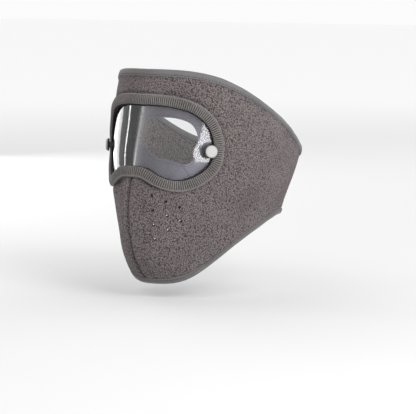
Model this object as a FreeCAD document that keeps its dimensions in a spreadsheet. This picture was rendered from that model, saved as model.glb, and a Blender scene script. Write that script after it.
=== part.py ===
"""Fleece ski balaclava with a clear lens on press studs, in the shape it takes when worn.

Frame: millimetres, +Z up. The origin is the middle of the head space at the height of the two
snaps. -Y is the front of the face and +X the wearer's left.

Every fabric layer follows one closed form, the head. A place on it is a turn (degrees from the
front, positive towards the wearer's left) and a height, and a layer lies at a lift from it:
0 is the inner face of the fleece, positive lifts are outside. Round the eye opening a place is
instead a reach (millimetres round the face from the centre line, at eye level) and a height.
"""
import FreeCAD
import Part
import Sketcher
import os
from math import cos, sin, radians, degrees
from FreeCAD import Placement, Rotation, Vector

doc = FreeCAD.newDocument("balaclava")
sheet = doc.addObject("Spreadsheet::Sheet", "Sizes")

# ---------------------------------------------------------------- driving sizes

# The head at eye level.
HEAD = (
    ("half_width", 75.5, "half the width of the head space"),
    ("face_depth", 98.0, "from the origin forward to the fleece"),
    ("nape_depth", 93.0, "from the origin back to the fleece"),
)

# Stations of the form from the neck up: height, then how much the half width, the depth in
# front and the depth behind differ from those at eye level, then the roundness of the front
# (2 is an ellipse, less is more pointed, as along the chin seam).
STATIONS = (
    ("throat", -130, -38.0, -38.0, -46.0, 1.92),
    ("chin_tip", -113, -25.5, -14.6, -39.0, 1.85),
    ("chin", -104, -22.0, -6.0, -35.5, 1.78),
    ("lip", -92, -19.0, 1.5, -31.5, 1.70),
    ("mouth", -76, -16.5, 6.0, -29.0, 1.66),
    ("nose_tip", -56, -13.2, 9.0, -22.0, 1.66),
    ("nose", -37, -7.0, 7.5, -14.0, 1.75),
    ("cheekbone", -17, -1.5, 3.5, -5.0, 1.85),
    ("eye_level", 0, 0.0, 0.0, 0.0, 1.92),
    ("eyebrow", 20, -0.5, -5.0, 3.0, 1.97),
    ("brow", 45, -3.5, -11.5, 5.0, 2.05),
    ("hairline", 60, -6.5, -15.0, 3.0, 2.10),
    ("crown", 85, -13.0, -24.0, -4.0, 2.10),
)

# The upper and lower edges of the mask: turn, height.
TOP_EDGE = (
    ("top_front", 0, 71.0),
    ("top_brow", 30, 69.5),
    ("top_temple", 50, 63.0),
    ("top_side", 68, 52.0),
    ("top_ear", 92, 34.0),
    ("top_behind_ear", 113, 17.5),
    ("top_nape_side", 140, -2.0),
    ("top_nape", 180, -10.0),
)
LOW_EDGE = (
    ("low_chin", 0, -118.0),
    ("low_jaw_front", 14, -117.5),
    ("low_jaw", 31, -110.3),
    ("low_jaw_side", 46, -98.6),
    ("low_jaw_back", 62, -87.0),
    ("low_ear", 82, -76.0),
    ("low_neck_side", 104, -67.5),
    ("low_neck", 140, -64.5),
    ("low_nape", 180, -63.0),
)

# Left half of the eye opening and of the hole in the liner behind it: reach, height. Both
# lists run from the middle of the brow round the temple to the bridge of the nose.
EYE_EDGE = (
    ("eye_brow_middle", 0, 40.4),
    ("eye_brow_inner", 20, 40.3),
    ("eye_brow_outer", 43, 36.9),
    ("eye_corner_top", 58, 30.4),
    ("eye_temple_top", 67, 21.0),
    ("eye_temple", 71.3, 8.5),
    ("eye_temple_low", 70.7, -5.0),
    ("eye_corner_low", 64.5, -15.0),
    ("eye_cheek_outer", 51, -22.9),
    ("eye_cheek_inner", 38, -25.0),
    ("eye_nose_side", 25, -21.3),
    ("eye_nose_flank", 13, -14.8),
    ("eye_nose_bridge", 0, -13.4),
)
LINER_EDGE = (
    ("liner_brow_middle", 0, 29.5),
    ("liner_brow_inner", 14, 30.3),
    ("liner_brow_outer", 30, 30.5),
    ("liner_corner_top", 44, 28.0),
    ("liner_temple_top", 54, 22.5),
    ("liner_temple", 58.5, 12.0),
    ("liner_temple_low", 57, 1.0),
    ("liner_corner_low", 51, -9.6),
    ("liner_cheek_outer", 42, -10.0),
    ("liner_cheek_inner", 28, -5.8),
    ("liner_nose_side", 14, -1.5),
    ("liner_nose_flank", 7.5, 6.5),
    ("liner_nose_flap", 0, 9.8),
)

LAYERS = (
    ("fleece_thickness", 2.2, "fleece"),
    ("layer_gap", 0.25, "air between two layers of cloth"),
    ("lens_lift", -0.6, "outer face of the lens"),
    ("lens_thickness", 0.8, "clear sheet"),
    ("lens_tuck", 3.0, "how far the lens reaches behind the rim of the opening"),
    ("liner_lift", -4.8, "outer face of the liner behind the lens"),
    ("liner_thickness", 1.0, "liner jersey"),
    ("liner_seam_width", 14.0, "from the eye opening to the liner's outer edge"),
    ("liner_flat_width", 4.5, "part of that where the liner still lies deep"),
    ("piping_width", 1.4, "black piping in the wall of the opening"),
    ("piping_foot", -0.4, "inner face of the piping"),
    ("rib_width", 9.0, "rib knit round the eye opening"),
    ("rib_edge_thickness", 0.6, "rib knit at its two edges"),
    ("rib_thickness", 1.3, "rib knit along its middle"),
    ("hole_margin", 0.3, "from the piping to the cut edge of the fleece"),
    ("top_binding_width", 6.5, "binding of the upper edge"),
    ("low_binding_width", 5.0, "binding of the lower edge"),
    ("end_binding_width", 6.0, "binding of the two ends at the nape"),
    ("binding_thickness", 0.8, "each side of a folded binding"),
    ("tape_width", 12.0, "tape inside the chin seam"),
    ("tape_thickness", 0.9, "tape inside the chin seam"),
    ("tape_start", -33.0, "upper end of the tape"),
    ("seam_slit", 0.3, "between the two edges that meet in the chin seam"),
)

CLOSURE = (
    ("wing_turn", 105.0, "where the left wing begins to swing"),
    ("wing_gap", 0.5, "air at that line, round the head"),
    ("hinge_clearance", 0.5, "from the outermost cloth at that line to the wing's axis"),
    ("right_end_turn", 200.0, "end of the right side, past the nape"),
    ("wing_end_turn", 205.0, "end of the left wing, past the nape"),
    ("ramp_start_turn", 118.0, "where the wing begins to lift over the right side"),
    ("ramp_end_turn", 152.0, "where it lies fully over it"),
    ("patch_gap", 0.35, "air between the hooks and the loops"),
    ("hook_thickness", 1.1, "hook patch"),
    ("loop_thickness", 1.3, "loop patch"),
    ("hook_start_turn", 171.0, "hook patch, nearer edge"),
    ("hook_end_turn", 199.5, "hook patch, outer edge"),
    ("loop_start_turn", 164.0, "loop patch, outer edge"),
    ("loop_end_turn", 194.0, "loop patch, inner edge"),
    ("patch_margin", 2.5, "from a patch to a binding"),
)

SNAPS = (
    ("snap_reach", 68.2, "middle of a snap, round the face"),
    ("snap_height", 0.5, "middle of a snap"),
    ("cap_radius", 5.4, "silver cap"),
    ("cap_rim", 0.7, "height of the cap's straight side"),
    ("cap_crown", 1.0, "height of its dome over that"),
    ("washer_radius", 5.8, "black washer under the cap"),
    ("washer_thickness", 0.8, "black washer under the cap"),
    ("rim_gap", 0.3, "from the rib knit to the washer"),
    ("shank_radius", 2.6, "socket between lens and washer"),
    ("lens_hole_radius", 2.1, "hole in the lens"),
    ("lens_hole_gap", 0.1, "round the socket in that hole"),
    ("socket_flange", 0.7, "thickness of the flange behind the lens"),
    ("socket_wall", 0.4, "socket round the stud"),
    ("socket_depth", 2.5, "bore of the socket"),
    ("lens_play", 0.2, "air on each side of the lens in the socket"),
    ("stud_gap", 0.15, "round the stud's head in the socket"),
    ("stud_radius", 4.0, "plate of the stud"),
    ("stud_plate", 0.5, "plate of the stud"),
    ("stud_neck", 1.2, "radius of the stud's neck"),
    ("stud_neck_top", 1.7, "height of the neck, plate included"),
    ("stud_height", 2.8, "height of the stud, plate included"),
    ("stud_bore", 2.0, "bore of the stud"),
    ("seat_gap", 0.1, "air between a metal plate and the cloth or cap it sits on"),
    ("post_radius", 0.7, "post through the tab"),
    ("post_gap", 0.1, "round the post"),
    ("post_height", 2.9, "height of the post, flange included"),
    ("post_flange_radius", 3.6, "flange behind the tab"),
    ("post_flange", 0.5, "thickness of that flange"),
    ("tab_thickness", 0.9, "fabric tab that carries the stud"),
    ("tab_lift", -3.0, "outer face of the tab"),
    ("tab_half_height", 7.5, "half the height of a tab"),
    ("tab_inner_reach", 60.5, "free end of a tab, towards the nose"),
    ("tab_outer_reach", 76.0, "sewn end of a tab"),
)

BREATHING = (
    ("hole_radius", 1.0, "breathing hole"),
    ("hole_first_turn", 11.3, "column of holes nearest the chin seam"),
    ("hole_turn_step", 6.2, "from one column to the next"),
    ("hole_top_height", -37.7, "top hole of the first column"),
    ("hole_column_drop", -5.0, "from the top of one column to the next"),
    ("hole_pitch", 12.9, "from one hole to the next below"),
    ("hole_columns", 3, "columns on each side; each has one hole more than columns remain"),
)


def fill_sheet():
    """Writes every size to the sheet, one row each: what it is, its value, its alias."""
    rows = list(HEAD) + list(LAYERS) + list(CLOSURE) + list(SNAPS) + list(BREATHING)
    for name, height, *steps in STATIONS:
        rows.append((name + "_height", height, "station of the form"))
        for kind, value in zip(("width_step", "front_step", "back_step", "roundness"), steps):
            rows.append((name + "_" + kind, value, "station of the form"))
    for name, turn, height in TOP_EDGE + LOW_EDGE:
        rows.append((name + "_turn", turn, "point of an edge"))
        rows.append((name + "_height", height, "point of an edge"))
    for name, reach, height in EYE_EDGE + LINER_EDGE:
        rows.append((name + "_reach", reach, "point of an opening"))
        rows.append((name + "_height", height, "point of an opening"))
    for number, (name, value, meaning) in enumerate(rows, 1):
        sheet.set("A%d" % number, meaning)
        sheet.set("B%d" % number, str(value))
        sheet.setAlias("B%d" % number, name)
    doc.recompute()


def size(name):
    """The value of a cell of the sheet."""
    return float(sheet.get(name))


fill_sheet()

FLEECE = size("fleece_thickness")
GAP = size("layer_gap")
BINDING_IN = -GAP - size("binding_thickness")
BINDING_OUT = FLEECE + GAP + size("binding_thickness")
WRAP_LIFT = (FLEECE + GAP + size("loop_thickness") + size("patch_gap")
             + size("hook_thickness") + GAP)

# ---------------------------------------------------------------- the form


def curve_over(points, parameters):
    """A smooth curve through points, each met at its own parameter."""
    curve = Part.BSplineCurve()
    curve.interpolate(Points=points, Parameters=parameters)
    return curve


def station_curves():
    """Widths and depths over the height, and the roundness over the height."""
    heights = [size(row[0] + "_height") for row in STATIONS]
    widths = []
    rounds = []
    for row in STATIONS:
        widths.append(Vector(size("half_width") + size(row[0] + "_width_step"),
                             size("face_depth") + size(row[0] + "_front_step"),
                             size("nape_depth") + size(row[0] + "_back_step")))
        rounds.append(Vector(size(row[0] + "_roundness"), 0, size(row[0] + "_height")))
    return curve_over(widths, heights), curve_over(rounds, heights)


def edge_curve(rows):
    """Height of an edge over the turn, level at the front and at the nape."""
    turns = [size(row[0] + "_turn") for row in rows]
    points = [Vector(size(row[0] + "_turn"), size(row[0] + "_height"), 0) for row in rows]
    curve = Part.BSplineCurve()
    level = Vector(1, 0, 0)
    curve.interpolate(Points=points, Parameters=turns, InitialTangent=level,
                      FinalTangent=level, Scale=False)
    return curve


WIDTHS, ROUNDS = station_curves()
TOP = edge_curve(TOP_EDGE)
LOW = edge_curve(LOW_EDGE)


def folded(turn):
    """The same place on the symmetric form, as a turn between 0 and 180."""
    turn = abs(turn)
    return turn if turn <= 180 else 360 - turn


def top_height(turn):
    return TOP.value(folded(turn)).y


def low_height(turn):
    return LOW.value(folded(turn)).y


def on_form(turn, height):
    """Point of the form: a rounded ellipse in each level plane."""
    angle = radians(turn)
    widths = WIDTHS.value(height)
    front = cos(angle) >= 0
    power = ROUNDS.value(height).x if front else 2.0
    depth = widths.y if front else widths.z
    total = (abs(sin(angle)) / widths.x) ** power + (abs(cos(angle)) / depth) ** power
    radius = total ** (-1 / power)
    return Vector(radius * sin(angle), -radius * cos(angle), height)


def outward(turn, height):
    """Unit normal of the form."""
    along = on_form(turn + 0.05, height) - on_form(turn - 0.05, height)
    up = on_form(turn, height + 0.05) - on_form(turn, height - 0.05)
    normal = along.cross(up)
    normal.normalize()
    return normal


def skin(turn, height, lift):
    """Point at a lift from the form."""
    return on_form(turn, height) + outward(turn, height) * lift


def reach_table():
    """Reach of each whole degree of turn, measured at eye level."""
    table = [0.0]
    for turn in range(1, 121):
        step = on_form(turn, size("eye_level_height")) - on_form(turn - 1, size("eye_level_height"))
        table.append(table[-1] + step.Length)
    return table


REACHES = reach_table()


def turn_at(reach):
    """Turn that lies at a reach from the centre line."""
    distance = abs(reach)
    turn = 0
    while REACHES[turn + 1] < distance:
        turn += 1
    turn += (distance - REACHES[turn]) / (REACHES[turn + 1] - REACHES[turn])
    return turn if reach >= 0 else -turn


# ---------------------------------------------------------------- solids from points


def mean_parameters(lines):
    """A parameter for each place along lines of points: the mean share of the length there."""
    totals = [0.0] * len(lines[0])
    for line in lines:
        runs = [0.0]
        for before, after in zip(line, line[1:]):
            runs.append(runs[-1] + (after - before).Length)
        totals = [total + run / runs[-1] for total, run in zip(totals, runs)]
    return [total / totals[-1] for total in totals]


def surface_through(grid):
    """A smooth surface through a grid: curves along its rows, then curves across their poles."""
    along, across = mean_parameters(grid), mean_parameters(list(zip(*grid)))
    rows = [curve_over(list(line), along) for line in grid]
    pole_lines = zip(*[row.getPoles() for row in rows])
    columns = [curve_over(list(line), across) for line in pole_lines]
    poles = [list(line) for line in zip(*[column.getPoles() for column in columns])]
    surface = Part.BSplineSurface()
    surface.buildFromPolesMultsKnots(poles, columns[0].getMultiplicities(),
                                     rows[0].getMultiplicities(), columns[0].getKnots(),
                                     rows[0].getKnots(), False, False, columns[0].Degree,
                                     rows[0].Degree)
    return surface


def closed_solid(faces):
    """Sews faces that meet edge to edge into one solid."""
    shell = Part.makeShell(faces)
    shell.sewShape()
    solid = Part.Solid(shell.Shells[0] if shell.ShapeType != "Shell" else shell)
    if solid.Volume < 0:
        solid.reverse()
    return solid


def cloth(turns, shares, bounds, lifts):
    """A curved slab: turns across it, shares from its lower to its upper edge.

    bounds gives the lower and upper height at a turn, and lifts the inner and outer lift.
    """
    grids = []
    for side in (0, 1):
        grid = []
        for turn in turns:
            low, high = bounds(turn)
            lift = lifts(turn)[side]
            grid.append([skin(turn, low + (high - low) * share, lift) for share in shares])
        grids.append(grid)
    return slab_between(grids)


def slab_between(grids):
    """The solid between two grids of points, one on each face of the cloth."""
    inner, outer = surface_through(grids[0]), surface_through(grids[1])
    faces = [inner.toShape(), outer.toShape()]
    u0, u1, v0, v1 = inner.bounds()
    p0, p1, q0, q1 = outer.bounds()
    for a, b in ((inner.uIso(u0), outer.uIso(p0)), (inner.uIso(u1), outer.uIso(p1)),
                 (inner.vIso(v0), outer.vIso(q0)), (inner.vIso(v1), outer.vIso(q1))):
        faces.append(Part.makeRuledSurface(a.toShape(), b.toShape()))
    return closed_solid(faces)


def track_edge(points):
    curve = Part.BSplineCurve()
    curve.interpolate(points)
    return curve.toShape()


def strips(tracks):
    """Faces between neighbouring tracks, and between the last and the first."""
    edges = [track_edge(track) for track in tracks]
    return [Part.makeRuledSurface(edge, edges[(number + 1) % len(edges)])
            for number, edge in enumerate(edges)]


def quad(corners):
    return Part.makeRuledSurface(Part.makeLine(corners[0], corners[1]),
                                 Part.makeLine(corners[3], corners[2]))


def bar(tracks, ends):
    """A solid with one track per corner of its section; ends are the quads of the section."""
    faces = strips(tracks)
    for place in (0, -1):
        faces += [quad([tracks[corner][place] for corner in four]) for four in ends]
    return closed_solid(faces)


def ring(section, outline):
    """A closed band round the eye opening; section lists (margin, lift) round its corners."""
    faces = strips([[skin(turn_at(reach), height, lift) for reach, height in outline(margin)]
                    for margin, lift in section])
    mirror = FreeCAD.Matrix()
    mirror.A11 = -1
    return closed_solid(faces + [face.transformGeometry(mirror) for face in faces])


# ---------------------------------------------------------------- outlines of the openings

STEPS_PER_POINT = 4


def whole_outline(rows):
    """Closed curve through a left half and its mirror image: x is the reach, y the height.

    Its parameter counts the points, so that one parameter means the same stretch of the eye
    opening and of the liner behind it.
    """
    left = [Vector(size(row[0] + "_reach"), size(row[0] + "_height"), 0) for row in rows]
    right = [Vector(-point.x, point.y, 0) for point in reversed(left[1:-1])]
    curve = Part.BSplineCurve()
    curve.interpolate(Points=left + right, PeriodicFlag=True,
                      Parameters=list(range(len(left + right) + 1)))
    return curve


EYE = whole_outline(EYE_EDGE)
LINER = whole_outline(LINER_EDGE)
NOSE_AT = len(EYE_EDGE) - 1


def place(curve, at, margin):
    """Reach and height on an outline moved outward by a margin."""
    at = at % (2 * NOSE_AT)
    point = curve.value(at)
    along = curve.tangent(at)[0]
    return point.x - along.y * margin, point.y + along.x * margin


def eye_outline(margin):
    """The left half of the eye opening's outline, from the brow to the nose."""
    count = NOSE_AT * STEPS_PER_POINT
    points = [place(EYE, step / STEPS_PER_POINT, margin) for step in range(count + 1)]
    points[0] = (0.0, points[0][1])
    points[-1] = (0.0, points[-1][1])
    return points


CUTTER_DEPTH = 7.0
CUTTER_FRONT = -size("face_depth") - 60
CUTTER_BACK = -30.0


def eye_cutter(margin):
    """A plug that fills the eye opening, cut along the normals of the form near the cloth."""
    left = eye_outline(margin)
    around = left + [(-reach, height) for reach, height in reversed(left[1:-1])]
    wires = []
    outer = [skin(turn_at(reach), height, CUTTER_DEPTH) for reach, height in around]
    inner = [skin(turn_at(reach), height, -CUTTER_DEPTH) for reach, height in around]
    for points in ([Vector(p.x, CUTTER_FRONT, p.z) for p in outer], outer, inner,
                   [Vector(p.x, CUTTER_BACK, p.z) for p in inner]):
        curve = Part.BSplineCurve()
        curve.interpolate(Points=points, PeriodicFlag=True)
        wires.append(Part.Wire(curve.toShape()))
    return Part.makeLoft(wires, True, True)


# ---------------------------------------------------------------- building the sub-parts

NODES = []


def keep(item, label):
    """Marks a document object as a sub-part."""
    item.Label = label
    NODES.append(item)
    return item


def shaped(label, solid):
    """A document object with a free-form solid."""
    item = doc.addObject("Part::Feature", label)
    item.Shape = solid
    item.Placement = Placement()
    return item


def bound(kind, label, **expressions):
    """A Part primitive whose sizes follow the sheet."""
    item = doc.addObject(kind, label)
    for name, expression in expressions.items():
        item.setExpression(name, expression)
    return item


def cut(label, base, tools):
    """base with the tools taken away."""
    fused = tools[0]
    if len(tools) > 1:
        fused = doc.addObject("Part::MultiFuse", label + "_cutters")
        fused.Shapes = tools
    item = doc.addObject("Part::Cut", label)
    item.Base = base
    item.Tool = fused
    return item


# Turns are closer where the face comes to its narrow front, shares closer at the two edges.
FRONT_TURNS = (1.2, 3, 6, 10, 15, 21, 28, 36, 44, 52, 60, 68, 76, 84, 92, 98)
SHARES = (0, 0.03, 0.07, 0.12, 0.18, 0.26, 0.35, 0.44, 0.53, 0.62, 0.7, 0.77, 0.83, 0.89, 0.94,
          0.97, 1)
BACK_STEP = 9.0


def spread(first, last, step):
    """Evenly spaced values from first to last, about a step apart."""
    count = max(3, round((last - first) / step))
    return [first + (last - first) * number / count for number in range(count + 1)]


def turn_of(length):
    """Turn that a length takes up at the side of the head."""
    return degrees(length / size("half_width"))


WING_START = size("wing_turn") + turn_of(size("wing_gap"))
RIGHT_END = -size("right_end_turn")
WING_END = size("wing_end_turn")
EDGE_INSET = size("binding_thickness") + GAP


def wrap_lift(turn):
    """How far the left wing stands off the form: it runs over the right side at the nape."""
    share = (turn - size("ramp_start_turn")) / (size("ramp_end_turn") - size("ramp_start_turn"))
    share = min(max(share, 0), 1)
    return WRAP_LIFT * share * share * (3 - 2 * share)


def fleece_bounds(turn):
    """The fleece stops inside the folded bindings."""
    return low_height(turn) + EDGE_INSET, top_height(turn) - EDGE_INSET


def fleece_sheet(label, turns, lift_at):
    """A sheet of fleece over some turns, between the two folded bindings."""
    return shaped(label, cloth(turns, SHARES, fleece_bounds,
                               lambda turn: (lift_at(turn), lift_at(turn) + FLEECE)))


def on_head(turn):
    """Lift of the cloth that lies straight on the head."""
    return 0.0


def breathing_holes():
    """Cylinders along the normals, in columns that each lose their lowest hole."""
    drills = []
    columns = int(size("hole_columns"))
    for side in (-1, 1):
        for column in range(columns):
            turn = side * (size("hole_first_turn") + column * size("hole_turn_step"))
            for row in range(columns + 1 - column):
                height = (size("hole_top_height") + column * size("hole_column_drop")
                          - row * size("hole_pitch"))
                drill = bound("Part::Cylinder", "breathing_drill", Radius="Sizes.hole_radius",
                              Height="4 * Sizes.fleece_thickness")
                normal = outward(turn, height)
                drill.Placement = Placement(skin(turn, height, -1.5 * FLEECE),
                                            Rotation(Vector(0, 0, 1), normal))
                drills.append(drill)
    return drills


def chin_seam_slit():
    """The two edges of the cloth meet in front from the nose to the chin."""
    slit = bound("Part::Box", "chin_seam_slit", Length="Sizes.seam_slit",
                 Width="Sizes.face_depth", Height="-Sizes.low_chin_height")
    slit.Placement = Placement(Vector(-size("seam_slit") / 2, -1.4 * size("face_depth"),
                                      size("low_chin_height") - 5), Rotation())
    return slit


def build_fleece():
    hole = shaped("fleece_eye_plug", eye_cutter(size("piping_width") + size("hole_margin")))
    tools = [hole, chin_seam_slit()] + breathing_holes()
    half = list(FRONT_TURNS) + [size("wing_turn")]
    front = [-turn for turn in reversed(half)] + [0] + half
    keep(cut("fleece_body_cut", fleece_sheet("front_sheet", front, on_head), tools),
         "fleece_body")
    right = spread(RIGHT_END + turn_of(EDGE_INSET), -WING_START, BACK_STEP)
    keep(fleece_sheet("right_sheet", right, on_head), "right_back_side")
    left = spread(WING_START, WING_END - turn_of(EDGE_INSET), BACK_STEP)
    keep(fleece_sheet("wing_sheet", left, wrap_lift), "left_back_wing")


END_SHARES = (0, 0.25, 0.5, 0.75, 1)

# Corners of a folded binding, and the three quads that make up its U.
FOLD_QUADS = ((0, 1, 6, 7), (1, 2, 5, 6), (2, 3, 4, 5))


def fold_section(width):
    """Distance in from the edge of the cloth, and lift, round a folded binding."""
    roof = size("binding_thickness")
    return ((width, BINDING_OUT), (0, BINDING_OUT), (0, BINDING_IN), (width, BINDING_IN),
            (width, -GAP), (roof, -GAP), (roof, FLEECE + GAP), (width, FLEECE + GAP))


def edge_binding(width, edge, inward, turns, lift_at):
    """Binding along the upper or lower edge; inward is -1 under the upper edge."""
    tracks = [[skin(turn, edge(turn) + inward * distance, lift + lift_at(turn))
               for turn in turns] for distance, lift in fold_section(width)]
    return bar(tracks, FOLD_QUADS)


def end_binding(end, inward, lift_at):
    """Upright binding of an end of the cloth, between the upper and the lower binding."""
    tracks = []
    for distance, lift in fold_section(size("end_binding_width")):
        turn = end + inward * turn_of(distance)
        low = low_height(turn) + size("low_binding_width") + GAP
        high = top_height(turn) - size("top_binding_width") - GAP
        tracks.append([skin(turn, low + (high - low) * share, lift + lift_at(turn))
                       for share in END_SHARES])
    return bar(tracks, FOLD_QUADS)


def build_bindings():
    front = [-turn for turn in reversed(FRONT_TURNS)] + [0] + list(FRONT_TURNS)
    around = spread(RIGHT_END, -FRONT_TURNS[-1], 4.5)[:-1] + front + [size("wing_turn")]
    wing = spread(WING_START, WING_END, 4.5)
    for name, alias, edge, inward in (("top_edge", "top", top_height, -1),
                                      ("bottom_edge", "low", low_height, 1)):
        width = size(alias + "_binding_width")
        wing_name = "left_wing_" + name.split("_")[0] + "_binding"
        keep(shaped(name, edge_binding(width, edge, inward, around, on_head)),
             name + "_binding")
        keep(shaped(wing_name, edge_binding(width, edge, inward, wing, wrap_lift)), wing_name)
    keep(shaped("right_end", end_binding(RIGHT_END, 1, on_head)), "right_end_binding")
    keep(shaped("wing_end", end_binding(WING_END, -1, wrap_lift)), "left_wing_end_binding")


def build_rim():
    """The rib knit round the opening and the black piping in its wall."""
    width, foot = size("rib_width"), FLEECE + GAP
    edge, middle = size("rib_edge_thickness"), size("rib_thickness")
    shoulder = edge + 0.8 * (middle - edge)
    section = ((0, foot), (0, foot + edge), (width / 4, foot + shoulder),
               (width / 2, foot + middle), (3 * width / 4, foot + shoulder),
               (width, foot + edge), (width, foot))
    keep(shaped("rib_ring", ring(section, eye_outline)), "eye_rib_binding")
    wall, low = size("piping_width"), size("piping_foot")
    section = ((0, low), (0, FLEECE), (wall, FLEECE), (wall, low))
    keep(shaped("piping_ring", ring(section, eye_outline)), "eye_edge_piping")


def snap_axis(side):
    """Foot of a snap's axis on the form, and its direction; side is 1 on the left."""
    turn = side * turn_at(size("snap_reach"))
    return on_form(turn, size("snap_height")), outward(turn, size("snap_height"))


def drill_along(side, label, radius):
    """A long cylinder on a snap's axis."""
    foot, axis = snap_axis(side)
    drill = bound("Part::Cylinder", label, Radius=radius, Height="20 * Sizes.lens_thickness")
    drill.Placement = Placement(foot - axis * 10 * size("lens_thickness"),
                                Rotation(Vector(0, 0, 1), axis))
    return drill


LENS_TURNS = 58.0
LENS_BOUNDS = (-42.0, 58.0)


def build_lens():
    outer = size("lens_lift")
    turns = spread(-LENS_TURNS, LENS_TURNS, 5.0)
    blank = shaped("lens_blank", cloth(turns, SHARES, lambda turn: LENS_BOUNDS,
                                       lambda turn: (outer - size("lens_thickness"), outer)))
    plug = shaped("lens_plug", eye_cutter(size("lens_tuck")))
    outline = doc.addObject("Part::Common", "lens_outline")
    outline.Base = blank
    outline.Tool = plug
    drills = [drill_along(side, "lens_drill", "Sizes.lens_hole_radius") for side in (1, -1)]
    keep(cut("lens_cut", outline, drills), "lens")


# Where the liner's pieces meet, counted along the outlines' points from the brow.
LINER_SEAM_TOP = 3.75
LINER_SEAM_LOW = 8.0
LINER_SEAM_GAP = 0.1


def liner_piece(first, last):
    """A band from the liner's own hole out to its seam with the fleece.

    Its rows hold a share of the way from that hole to the eye opening, a margin outside the
    eye opening, and a lift.
    """
    far = size("liner_seam_width")
    near = size("liner_flat_width")
    deep = size("liner_lift")
    rows = [(share, 0, deep) for share in (0, 0.2, 0.4, 0.6, 0.8, 1)]
    rows += [(1, near / 2, deep), (1, near, deep)]
    for share in (0.25, 0.5, 0.75, 1):
        rows.append((1, near + (far - near) * share, deep + (-GAP - deep) * share))
    grids = [[], []]
    for at in spread(first, last, 1 / STEPS_PER_POINT):
        for grid, drop in zip(grids, (size("liner_thickness"), 0)):
            column = []
            for share, margin, lift in rows:
                inner, outer = place(LINER, at, 0), place(EYE, at, margin)
                reach = inner[0] + (outer[0] - inner[0]) * share
                height = inner[1] + (outer[1] - inner[1]) * share
                column.append(skin(turn_at(reach), height, lift - drop))
            grid.append(column)
    return slab_between(grids)


def build_liner():
    loop, gap = 2 * NOSE_AT, LINER_SEAM_GAP
    pieces = (("liner_brow_band", -LINER_SEAM_TOP, LINER_SEAM_TOP),
              ("liner_left_side", LINER_SEAM_TOP + gap, LINER_SEAM_LOW - gap),
              ("liner_cheek_band", LINER_SEAM_LOW, loop - LINER_SEAM_LOW),
              ("liner_right_side", loop - LINER_SEAM_LOW + gap, loop - LINER_SEAM_TOP - gap))
    for name, first, last in pieces:
        keep(shaped(name + "_sheet", liner_piece(first, last)), name)


def build_tabs():
    outer = size("tab_lift")
    middle, half = size("snap_height"), size("tab_half_height")
    for side, name in ((1, "left"), (-1, "right")):
        ends = [side * turn_at(size("tab_inner_reach")), side * turn_at(size("tab_outer_reach"))]
        strip = cloth(spread(min(ends), max(ends), 4.0), (0, 0.25, 0.5, 0.75, 1),
                      lambda turn: (middle - half, middle + half),
                      lambda turn: (outer - size("tab_thickness"), outer))
        drill = drill_along(side, name + "_tab_drill", "Sizes.post_radius + Sizes.post_gap")
        keep(cut(name + "_tab_cut", shaped(name + "_tab_strip", strip), [drill]),
             name + "_snap_tab")


def turned(label, corners, side, lift):
    """A body of revolution on a snap's axis. corners are (radius, height) expressions."""
    body = doc.addObject("PartDesign::Body", label + "_turned")
    sketch = body.newObject("Sketcher::SketchObject", label + "_section")
    plane = next(item for item in body.Origin.OriginFeatures if item.Role == "XZ_Plane")
    sketch.AttachmentSupport = [(plane, "")]
    sketch.MapMode = "FlatFace"
    rough = [(sheet_value(radius), sheet_value(height)) for radius, height in corners]
    count = len(corners)
    for number, (radius, height) in enumerate(rough):
        after = rough[(number + 1) % count]
        sketch.addGeometry(Part.LineSegment(Vector(radius, height, 0), Vector(*after, 0)), False)
    for number in range(count):
        sketch.addConstraint(Sketcher.Constraint("Coincident", number, 2, (number + 1) % count, 1))
    for number, (radius, height) in enumerate(corners):
        for kind, axis, text in (("DistanceX", -2, radius), ("DistanceY", -1, height)):
            if text == "0":
                sketch.addConstraint(Sketcher.Constraint("PointOnObject", number, 1, axis))
                continue
            index = sketch.addConstraint(
                Sketcher.Constraint(kind, -1, 1, number, 1, sheet_value(text)))
            sketch.setExpression("Constraints[%d]" % index, text)
    turning = body.newObject("PartDesign::Revolution", label + "_revolution")
    turning.Profile = sketch
    turning.ReferenceAxis = (sketch, ["V_Axis"])
    turning.Angle = 360
    foot, axis = snap_axis(side)
    body.Placement = Placement(foot + axis * lift, Rotation(Vector(0, 0, 1), axis))
    return keep(body, label)


def sheet_value(text):
    """The value of a sum or difference of cells."""
    total, sign = 0.0, 1
    for word in text.split():
        if word in "+-":
            sign = 1 if word == "+" else -1
        else:
            name = word.replace("Sizes.", "")
            total += sign * (size(name) if name != word else float(word))
    return total


RIB_TOP = FLEECE + GAP + size("rib_thickness")
LENS_INSIDE = size("lens_lift") - size("lens_thickness")
SOCKET_FOOT = LENS_INSIDE - size("lens_play") - size("socket_flange")
WASHER_FOOT = RIB_TOP + size("rim_gap")


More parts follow.
